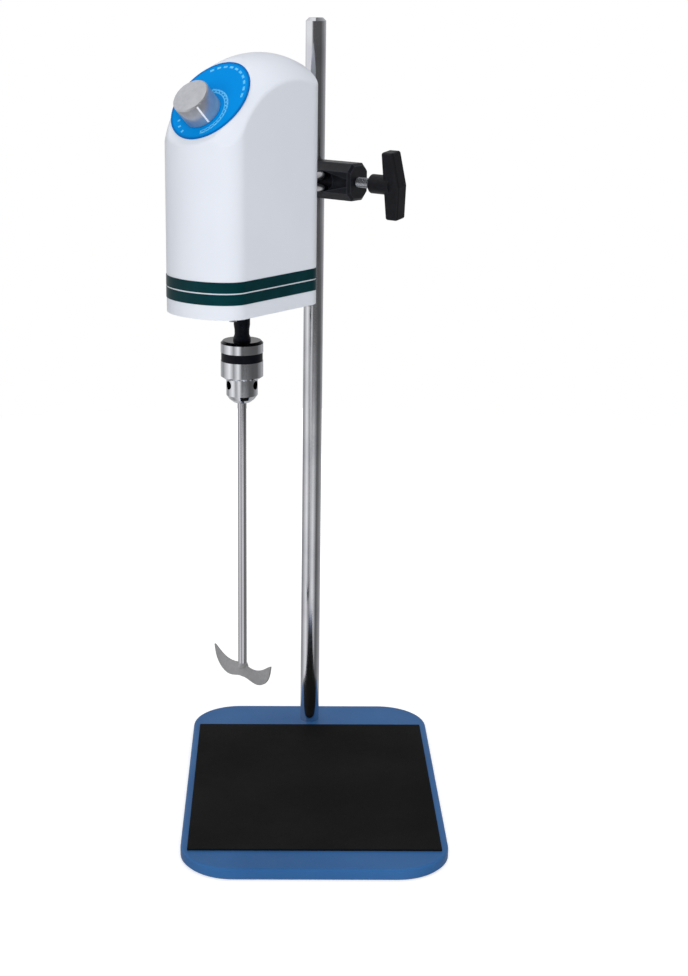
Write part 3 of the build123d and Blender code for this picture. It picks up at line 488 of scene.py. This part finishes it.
anodised = new_finish("blue anodising", DIAL_BLUE, roughness=0.42, specular=0.03)
dial_euler = DIAL_TURN.to_euler()
dial_place = {"centre": dial_middle, "turn": dial_euler}
# Painted shade: the blue turns darker in the middle round the knob; it also turns darker towards the rim.
rim_place = surface_place(
    anodised, stretch=(dial_half_w, dial_half_h, 1), centre=dial_middle, turn=dial_euler
)
rim_part = anodised.node_tree.nodes.new("ShaderNodeSeparateXYZ")
rim_flat = anodised.node_tree.nodes.new("ShaderNodeCombineXYZ")
rim_reach = anodised.node_tree.nodes.new("ShaderNodeVectorMath")
rim_reach.operation = "LENGTH"
anodised.node_tree.links.new(rim_place, rim_part.inputs["Vector"])
anodised.node_tree.links.new(rim_part.outputs["X"], rim_flat.inputs["X"])
anodised.node_tree.links.new(rim_part.outputs["Y"], rim_flat.inputs["Y"])
anodised.node_tree.links.new(rim_flat.outputs["Vector"], rim_reach.inputs[0])
dial_tone = shade(anodised, rim_reach.outputs["Value"], DIAL_KNOB_SHADE, DIAL_RIM, low=0.2, high=0.985)
for place, tone in ((0.6, DIAL_BLUE), (0.93, DIAL_BLUE)):
    dial_tone.color_ramp.elements.new(place).color = chart(tone)
relief(anodised, speckle(anodised, 1500.0, stretch=(1, 0.1, 1), **dial_place), 0.00001)
give(anodised, "dial_plate")


# ---- Speed knob
# A knob turned from aluminium bar, its top faced on the lathe so that the light
# fans out in sectors, its side polished, held on the shaft by a grub screw.
KNOB_ALUMINIUM = (190, 192, 197)
KNOB_SHADE = (182, 184, 189)
turned_top = new_finish("turned aluminium", KNOB_ALUMINIUM, roughness=0.3, metallic=0.7)
knob_shader = turned_top.node_tree.nodes["Principled BSDF"]
knob_shader.inputs["Anisotropic"].default_value = 0.8
knob_place = surface_place(turned_top, centre=knob_middle)
round_axis = turned_top.node_tree.nodes.new("ShaderNodeVectorMath")
round_axis.operation = "CROSS_PRODUCT"
round_axis.inputs[1].default_value = DIAL_OUT
lathe_way = turned_top.node_tree.nodes.new("ShaderNodeVectorTransform")
lathe_way.vector_type = "VECTOR"
lathe_way.convert_from = "OBJECT"
lathe_way.convert_to = "WORLD"
turned_top.node_tree.links.new(knob_place, round_axis.inputs[0])
turned_top.node_tree.links.new(round_axis.outputs["Vector"], lathe_way.inputs["Vector"])
turned_top.node_tree.links.new(lathe_way.outputs["Vector"], knob_shader.inputs["Tangent"])
rings = turned_top.node_tree.nodes.new("ShaderNodeTexWave")
rings.wave_type = "RINGS"
rings.rings_direction = "Z"
rings.inputs["Scale"].default_value = 700.0
knob_turned = surface_place(turned_top, centre=knob_middle, turn=dial_euler)
turned_top.node_tree.links.new(knob_turned, rings.inputs["Vector"])
relief(turned_top, rings.outputs["Fac"], 0.00001)
shade(turned_top, speckle(turned_top, 300.0), KNOB_SHADE, KNOB_ALUMINIUM)
give(turned_top, "speed_knob")


# ---- Knob index
# A white line filled with paint down the knob's side, which points at the speed
# printed on the dial.
INDEX_ANGLE = -38
INDEX_W = 0.0013
INDEX_LIFT = 0.00005
index_fill = bmesh.new()
knob_top = reach_along("speed_knob", DIAL_OUT)[1]
knob_foot = reach_along("speed_knob", DIAL_OUT)[0]
knob_width = reach_along("speed_knob", ACROSS)
knob_radius = (knob_width[1] - knob_width[0]) / 2
index_way = ACROSS * cos(radians(INDEX_ANGLE)) + DIAL_UP * sin(radians(INDEX_ANGLE))
index_side = DIAL_OUT.cross(index_way)
knob_axis = knob_middle - DIAL_OUT * knob_middle.dot(DIAL_OUT)


def index_layer(lift):
    """The line's four corners on the knob's side, at one height over the metal."""
    corners = []
    for height, side in ((knob_foot, -1), (knob_foot, 1), (knob_top, 1), (knob_top, -1)):
        inset = 0.0012 if height == knob_top else 0.0004
        along = height - inset if height == knob_top else height + inset
        place = knob_axis + index_way * (knob_radius + lift) + DIAL_OUT * along
        corners.append(index_fill.verts.new(place + index_side * side * INDEX_W / 2))
    return corners


inner_layer = index_layer(-0.0003)
outer_layer = index_layer(INDEX_LIFT)
index_fill.faces.new(outer_layer)
index_fill.faces.new(inner_layer[::-1])
for corner in range(4):
    onward = (corner + 1) % 4
    index_fill.faces.new(
        (inner_layer[corner], inner_layer[onward], outer_layer[onward], outer_layer[corner])
    )
knob_index = finished_mesh(index_fill, "knob_index", smooth=False)
index_paint = new_finish("white index paint", (246, 248, 252), roughness=0.4)
shade(index_paint, speckle(index_paint, 1500.0), (236, 240, 248), (250, 251, 254))
knob_index.data.materials.append(index_paint)
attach(knob_index, "knob")


# ---- Potentiometer, socket and other parts inside the head
# What a service engineer finds under the housing: a moulded potentiometer, cast
# end caps, a drawn steel motor case, stacked laminations and enamelled copper.
LAMINATION = 0.0005


def layered(finish, thickness, **seat):
    """A stack of thin sheets, or turns of wire, of one thickness along Z."""
    bands = finish.node_tree.nodes.new("ShaderNodeTexWave")
    bands.bands_direction = "Z"
    bands.inputs["Scale"].default_value = 2 * pi / 20 / thickness
    finish.node_tree.links.new(surface_place(finish, **seat), bands.inputs["Vector"])
    return bands.outputs["Fac"]


def inner_finish(name, darker, lighter, roughness, metallic=0.0, grain=600.0):
    """A finish for a hidden piece: two close tones and a light grain."""
    finish = new_finish(name, lighter, roughness, metallic)
    shade(finish, speckle(finish, grain), darker, lighter)
    relief(finish, speckle(finish, grain * 3), 0.00005)
    return finish


alloy = inner_finish("die-cast alloy", (158, 160, 164), (182, 184, 188), 0.45, 1.0)
give(alloy, "bar_socket", "motor_lower_cap", "motor_upper_cap", "potentiometer_shaft")
case_steel = inner_finish("drawn case steel", (120, 122, 126), (146, 148, 152), 0.4, 1.0)
give(case_steel, "motor_case")
stack = new_finish("stacked laminations", (120, 120, 124), roughness=0.5, metallic=1.0)
shade(stack, layered(stack, LAMINATION), (70, 70, 74), (140, 140, 145))
relief(stack, layered(stack, LAMINATION), 0.00008)
give(stack, "stator_core", "armature_core")
copper = new_finish("enamelled copper", (184, 96, 52), roughness=0.3, metallic=0.9)
shade(copper, layered(copper, LAMINATION), (120, 52, 24), (196, 106, 60))
relief(copper, layered(copper, LAMINATION), 0.00015)
give(copper, "field_coils", "armature_windings", "commutator")
graphite = inner_finish("carbon brush", (36, 36, 38), (52, 52, 55), 0.6)
give(graphite, "carbon_brushes")
bakelite = inner_finish("brown bakelite", (64, 38, 24), (82, 50, 32), 0.4)
give(bakelite, "brush_holders")
laminate = inner_finish("green board laminate", (20, 84, 52), (28, 98, 62), 0.4)
give(laminate, "circuit_board")
black_parts = inner_finish("component resin", (30, 30, 34), (58, 56, 60), 0.5)
give(black_parts, "board_components", "potentiometer")
nickel = inner_finish("nickel plate", (176, 172, 160), (200, 196, 184), 0.3, 1.0)
give(nickel, "potentiometer_nut")
ground_steel = inner_finish("ground bearing steel", (176, 178, 182), (202, 204, 208), 0.22, 1.0)
give(ground_steel, "motor_bearings", "motor_shaft")


# ---- Spindle adaptor
# A blackened steel sleeve screwed on the motor's shaft, which carries the chuck.
# The blacking is oily, so it keeps a soft shine, with a dark dimple for its screw.
OXIDE_BLACK = (9, 11, 19)
oxide = new_finish("black oxide", OXIDE_BLACK, roughness=0.34, metallic=0.0, specular=0.12)
shade(oxide, speckle(oxide, 500.0), (7, 9, 15), (12, 14, 23))
polish(oxide, speckle(oxide, 150.0), 0.25, 0.42)
give(oxide, "spindle_adaptor", "sleeve_grip", "adaptor_screw")


# ---- Drill chuck
# A three-jaw keyed chuck of hardened steel, turned, polished and bright chromed,
# with a blackened band on the sleeve for the fingers.
MIRROR = (226, 228, 232)
BORE_SHADE_AND_DARK_TOP = (14, 15, 19)
CHUCK_TOP_EDGE = 0.0021
BORE_SKIN = 0.0007
NOSE_RADIUS = 0.0122
NOSE_STRAIGHT = 0.3206


def compare(finish, operation, value, limit):
    """One where the value passes the limit, otherwise nought."""
    test = finish.node_tree.nodes.new("ShaderNodeMath")
    test.operation = operation
    test.inputs[1].default_value = limit
    finish.node_tree.links.new(value, test.inputs[0])
    return test.outputs["Value"]


def combine(finish, operation, first, second):
    """Two values joined by one sum, such as a product for both or a maximum for either."""
    sums = finish.node_tree.nodes.new("ShaderNodeMath")
    sums.operation = operation
    finish.node_tree.links.new(first, sums.inputs[0])
    finish.node_tree.links.new(second, sums.inputs[1])
    return sums.outputs["Value"]


def from_axis(finish, centre):
    """Distance from an upright axis, and the height."""
    tree = finish.node_tree
    parts = tree.nodes.new("ShaderNodeSeparateXYZ")
    flat = tree.nodes.new("ShaderNodeCombineXYZ")
    reach = tree.nodes.new("ShaderNodeVectorMath")
    reach.operation = "LENGTH"
    tree.links.new(surface_place(finish, centre=centre), parts.inputs["Vector"])
    tree.links.new(parts.outputs["X"], flat.inputs["X"])
    tree.links.new(parts.outputs["Y"], flat.inputs["Y"])
    tree.links.new(flat.outputs["Vector"], reach.inputs[0])
    return reach.outputs["Value"], parts.outputs["Z"]


chuck_low, chuck_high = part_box("chuck_body")
chuck_axis = (*middle_of("stirring_shaft").xy, 0)
chuck_chrome = new_finish("chuck chrome", MIRROR, roughness=0.09, metallic=1.0)
chuck_reach, chuck_height = from_axis(chuck_chrome, chuck_axis)
# Painted shade: the bore inside the nose is coloured near-black; the top edge of the chuck is coloured
# near-black too.
in_hole = combine(
    chuck_chrome, "MULTIPLY",
    compare(chuck_chrome, "LESS_THAN", chuck_reach, NOSE_RADIUS - BORE_SKIN),
    compare(chuck_chrome, "GREATER_THAN", chuck_height, NOSE_STRAIGHT),
)
on_top = compare(chuck_chrome, "GREATER_THAN", chuck_height, chuck_high[2] - CHUCK_TOP_EDGE)
shade_and_dark_top = combine(chuck_chrome, "MAXIMUM", in_hole, on_top)
shade(chuck_chrome, shade_and_dark_top, MIRROR, BORE_SHADE_AND_DARK_TOP, low=0.0, high=1.0)
lathe_lines = speckle(chuck_chrome, 3500.0, stretch=(9, 9, 0.5))
relief(chuck_chrome, lathe_lines, 0.000002)
give(chuck_chrome, "chuck_body", "chuck_sleeve")
jaw_steel = inner_finish("hardened jaw steel", (120, 122, 128), (150, 152, 158), 0.3, 1.0)
give(jaw_steel, "chuck_jaw_1", "chuck_jaw_2", "chuck_jaw_3", "chuck_nut")


# ---- Stirring shaft and propeller
# A polished stainless rod with a two-bladed crescent propeller pressed from sheet and
# welded across its foot. The blades are bead-blasted, so they stay matt.
STAINLESS = (214, 214, 217)
BLASTED = (165, 165, 167)
BLASTED_SHADE = (156, 156, 158)
stainless = new_finish("polished stainless", STAINLESS, roughness=0.13, metallic=1.0)
shade(stainless, speckle(stainless, 60.0, stretch=(1, 1, 5)), (198, 198, 202), STAINLESS)
relief(stainless, speckle(stainless, 2400.0, stretch=(6, 6, 0.5)), 0.000004)
give(stainless, "stirring_shaft")
blasted = new_finish("bead-blasted stainless", BLASTED, roughness=0.5, metallic=0.5)
shade(blasted, speckle(blasted, 500.0), BLASTED_SHADE, BLASTED)
relief(blasted, speckle(blasted, 2600.0), 0.00012)
give(blasted, "propeller")


# ---- Studio
# A pale sweep of paper, a large soft lamp in front, a weaker one at the left and one
# overhead. Metal sees soft boxes at the left and a dark room at the right.
PAPER = (225, 225, 225)
PAPER_RADIUS = 1.3
PAPER_GLOW = 0.5
FAR_GLOW = 1.0
GLOW_NEAR = 0.3
GLOW_FAR = 0.75
ROOM_LEVEL = 0.42
KEY_POWER = 35.0
SIDE_POWER = 3.0
TOP_POWER = 11.0


def lamp(name, place, target, size, power):
    """A square soft lamp that points at a target."""
    light = bpy.data.lights.new(name, "AREA")
    light.shape = "SQUARE"
    light.size = size
    light.energy = power
    holder = bpy.data.objects.new(name, light)
    holder.location = place
    holder.rotation_euler = (Vector(target) - Vector(place)).to_track_quat("-Z", "Y").to_euler()
    holder.visible_glossy = False
    bpy.context.scene.collection.objects.link(holder)


lamp("key lamp", (-0.15, -2.3, 1.1), (0, 0, 0.3), 1.2, KEY_POWER)
lamp("side lamp", (-1.5, -1.7, 1.7), (0, 0, 0.3), 1.4, SIDE_POWER)
lamp("top lamp", (0.2, 0.3, 2.2), (0, 0, 0.3), 1.5, TOP_POWER)

sheet = bmesh.new()
bmesh.ops.create_circle(sheet, cap_ends=True, segments=96, radius=PAPER_RADIUS)
paper_floor = finished_mesh(sheet, "paper_floor", smooth=False)
paper_floor.location.z = -0.0002
paper_floor.visible_glossy = False
paper = bpy.data.materials.new("studio paper")
paper.use_nodes = True
paper_tree = paper.node_tree
paper_shader = paper_tree.nodes["Principled BSDF"]
paper_shader.inputs["Base Color"].default_value = chart(PAPER)
paper_shader.inputs["Roughness"].default_value = 0.9
paper_shader.inputs["Specular IOR Level"].default_value = 0.0
paper_shader.inputs["Emission Strength"].default_value = 1.0
paper_rays = paper_tree.nodes.new("ShaderNodeLightPath")
paper_own = paper_tree.nodes.new("ShaderNodeTexCoord")
paper_reach = paper_tree.nodes.new("ShaderNodeVectorMath")
paper_reach.operation = "LENGTH"
paper_burn = paper_tree.nodes.new("ShaderNodeMapRange")
paper_burn.inputs["From Min"].default_value = GLOW_NEAR
paper_burn.inputs["From Max"].default_value = GLOW_FAR
paper_burn.inputs["To Min"].default_value = PAPER_GLOW
paper_burn.inputs["To Max"].default_value = FAR_GLOW
paper_tree.links.new(paper_own.outputs["Object"], paper_reach.inputs[0])
paper_tree.links.new(paper_reach.outputs["Value"], paper_burn.inputs["Value"])
paper_glow = paper_tree.nodes.new("ShaderNodeMath")
paper_glow.operation = "MULTIPLY"
paper_tree.links.new(paper_burn.outputs["Result"], paper_glow.inputs[1])
paper_tree.links.new(paper_rays.outputs["Is Camera Ray"], paper_glow.inputs[0])
paper_tree.links.new(paper_glow.outputs["Value"], paper_shader.inputs["Emission Color"])
paper_floor.data.materials.append(paper)

room = bpy.data.worlds.new("studio room")
bpy.context.scene.world = room
room.use_nodes = True
room_tree = room.node_tree
room_tree.nodes.clear()
room_out = room_tree.nodes.new("ShaderNodeOutputWorld")
room_way = room_tree.nodes.new("ShaderNodeTexCoord")
room_turn = room_tree.nodes.new("ShaderNodeMapping")
room_turn.inputs["Rotation"].default_value = (0, 0, radians(90))
room_round = room_tree.nodes.new("ShaderNodeTexGradient")
room_round.gradient_type = "RADIAL"
# angle from the camera's side, positive to the right, and the brightness there
HORIZON = ((-170, 0.6), (-120, 1.0), (-50, 1.0), (-30, 0.1), (60, 0.1), (150, 0.5))
WALLS = ((-170, 0.6), (-120, 0.3), (-70, 1.0), (-45, 0.3), (-20, 1.0), (0, 0.1), (90, 0.1), (150, 0.5))
TABLE = ((-170, 0.6), (-120, 0.3), (-60, 1.0), (-30, 0.3), (15, 1.0), (60, 0.1), (150, 0.5))


def surroundings(levels):
    """Brightness round the room as a colour ramp over the compass."""
    ring = room_tree.nodes.new("ShaderNodeValToRGB")
    while len(ring.color_ramp.elements) > 1:
        ring.color_ramp.elements.remove(ring.color_ramp.elements[0])
    for number, (angle, level) in enumerate(levels):
        place = angle / 360 + 0.5
        stops = ring.color_ramp.elements
        stop = stops[0] if number == 0 else stops.new(place)
        stop.position = place
        stop.color = (level, level, level * 1.02, 1)
    room_tree.links.new(room_round.outputs["Fac"], ring.inputs["Fac"])
    return ring.outputs["Color"]


def lower_down(upper, lower, start, stop):
    """Fades from one ring of surroundings to a lower one between two slopes of the ray."""
    drop = room_tree.nodes.new("ShaderNodeMapRange")
    drop.inputs["From Min"].default_value = start
    drop.inputs["From Max"].default_value = stop
    blend = room_tree.nodes.new("ShaderNodeMix")
    blend.data_type = "RGBA"
    room_tree.links.new(room_slant.outputs["Z"], drop.inputs["Value"])
    room_tree.links.new(drop.outputs["Result"], blend.inputs["Factor"])
    room_tree.links.new(upper, blend.inputs["A"])
    room_tree.links.new(lower, blend.inputs["B"])
    return blend.outputs["Result"]


room_slant = room_tree.nodes.new("ShaderNodeSeparateXYZ")
room_tree.links.new(room_way.outputs["Generated"], room_slant.inputs["Vector"])
above_table = lower_down(surroundings(HORIZON), surroundings(WALLS), -0.13, -0.18)
all_round = lower_down(above_table, surroundings(TABLE), -0.232, -0.252)
room_rays = room_tree.nodes.new("ShaderNodeLightPath")
room_light = room_tree.nodes.new("ShaderNodeBackground")
room_light.inputs["Strength"].default_value = ROOM_LEVEL
room_seen = room_tree.nodes.new("ShaderNodeBackground")
room_mirrored = room_tree.nodes.new("ShaderNodeBackground")
for backdrop in (room_light, room_seen):
    backdrop.inputs["Color"].default_value = (1, 1, 1, 1)
shiny = room_tree.nodes.new("ShaderNodeMixShader")
final = room_tree.nodes.new("ShaderNodeMixShader")
room_tree.links.new(room_way.outputs["Generated"], room_turn.inputs["Vector"])
room_tree.links.new(room_turn.outputs["Vector"], room_round.inputs["Vector"])
room_tree.links.new(all_round, room_mirrored.inputs["Color"])
room_tree.links.new(room_rays.outputs["Is Glossy Ray"], shiny.inputs["Fac"])
room_tree.links.new(room_light.outputs["Background"], shiny.inputs[1])
room_tree.links.new(room_mirrored.outputs["Background"], shiny.inputs[2])
room_tree.links.new(room_rays.outputs["Is Camera Ray"], final.inputs["Fac"])
room_tree.links.new(shiny.outputs["Shader"], final.inputs[1])
room_tree.links.new(room_seen.outputs["Background"], final.inputs[2])
room_tree.links.new(final.outputs["Shader"], room_out.inputs["Surface"])


# ---- Camera
# A long lens a good metre away, a little above the head and looking down at it.
IMAGE_W = 688
IMAGE_H = 976
FOCAL_PIXELS = 1781.32
AXIS_X = 286.8
LOOK_DOWN = 0.2838
LOOK_RIGHT = 0.005
LOOK_ROLL = 0.0054
SENSOR = 0.036
STAND_AT = Vector((-0.0280062, -1.3130605, 0.6365187))
ahead = Vector((sin(LOOK_RIGHT) * cos(LOOK_DOWN), cos(LOOK_RIGHT) * cos(LOOK_DOWN), -sin(LOOK_DOWN)))
level_right = Vector((cos(LOOK_RIGHT), -sin(LOOK_RIGHT), 0))
level_up = level_right.cross(ahead)
lens_right = level_right * cos(LOOK_ROLL) + level_up * sin(LOOK_ROLL)
lens_up = -level_right * sin(LOOK_ROLL) + level_up * cos(LOOK_ROLL)
lens = bpy.data.cameras.new("camera")
lens.sensor_width = SENSOR * 1000
lens.lens = FOCAL_PIXELS * SENSOR * 1000 / IMAGE_H
lens.shift_x = (IMAGE_W / 2 - AXIS_X) / IMAGE_H
camera = bpy.data.objects.new("camera", lens)
camera.matrix_world = Matrix.Translation(STAND_AT) @ Matrix((lens_right, lens_up, -ahead)).transposed().to_4x4()
bpy.context.scene.collection.objects.link(camera)
bpy.context.scene.camera = camera
bpy.context.scene.view_settings.view_transform = "Standard"
